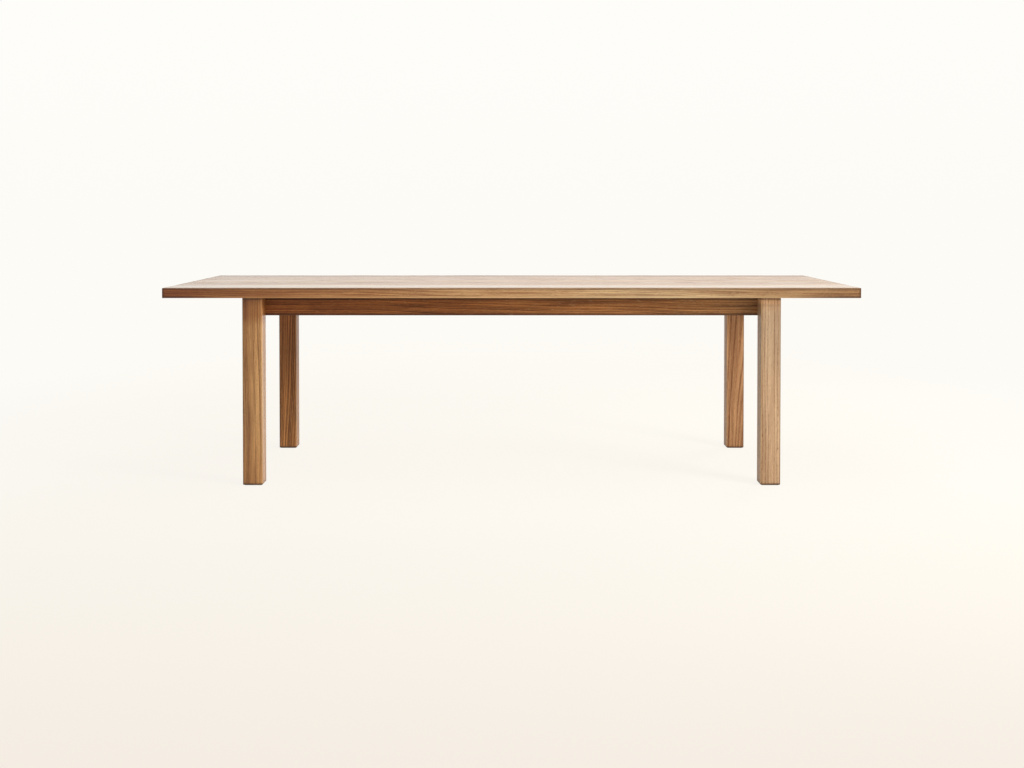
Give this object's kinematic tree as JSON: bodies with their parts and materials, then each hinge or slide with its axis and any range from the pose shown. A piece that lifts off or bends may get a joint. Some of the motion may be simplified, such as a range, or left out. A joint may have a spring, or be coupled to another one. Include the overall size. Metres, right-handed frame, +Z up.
{
  "type": "dining table",
  "caption": "Long oak dining table: thin board top overhanging four square legs set in from its edges, joined by a recessed frame of narrow rails.",
  "frame": {"origin": "on the floor, under the middle of the top", "axes": "+X along the table towards its right end, +Y across it towards the back, +Z up"},
  "size_m": [2.642, 1.016, 0.762],
  "materials": {
    "oak_top": "oiled, satin",
    "oak_legs": "oiled, satin",
    "oak_rails": "oiled, satin",
    "oak_bearers": "planed, unfinished",
    "beech": "planed, unfinished",
    "birch_ply": "sanded, unfinished",
    "zinc_steel": "bright zinc plated",
    "nylon": "matte moulded"
  },
  "bodies": {
    "root": {"top_board_1": "oak_top", "top_board_2": "oak_top", "top_board_3": "oak_top", "top_board_4": "oak_top", "top_board_5": "oak_top", "top_board_6": "oak_top", "top_board_7": "oak_top", "top_tongues": "birch_ply", "leg_back_right": "oak_legs", "leg_back_left": "oak_legs", "leg_front_right": "oak_legs", "leg_front_left": "oak_legs", "end_rail_right": "oak_rails", "end_rail_left": "oak_rails", "long_rail_back": "oak_rails", "long_rail_front": "oak_rails", "cross_bearer_right": "oak_bearers", "cross_bearer_left": "oak_bearers", "top_buttons": "beech", "button_screws": "zinc_steel", "bearer_screws": "zinc_steel", "hanger_bolts": "zinc_steel", "bolt_washers": "zinc_steel", "bolt_nuts": "zinc_steel", "foot_glide_back_right": "nylon", "foot_glide_back_left": "nylon", "foot_glide_front_right": "nylon", "foot_glide_front_left": "nylon"}
  },
  "joints": []
}
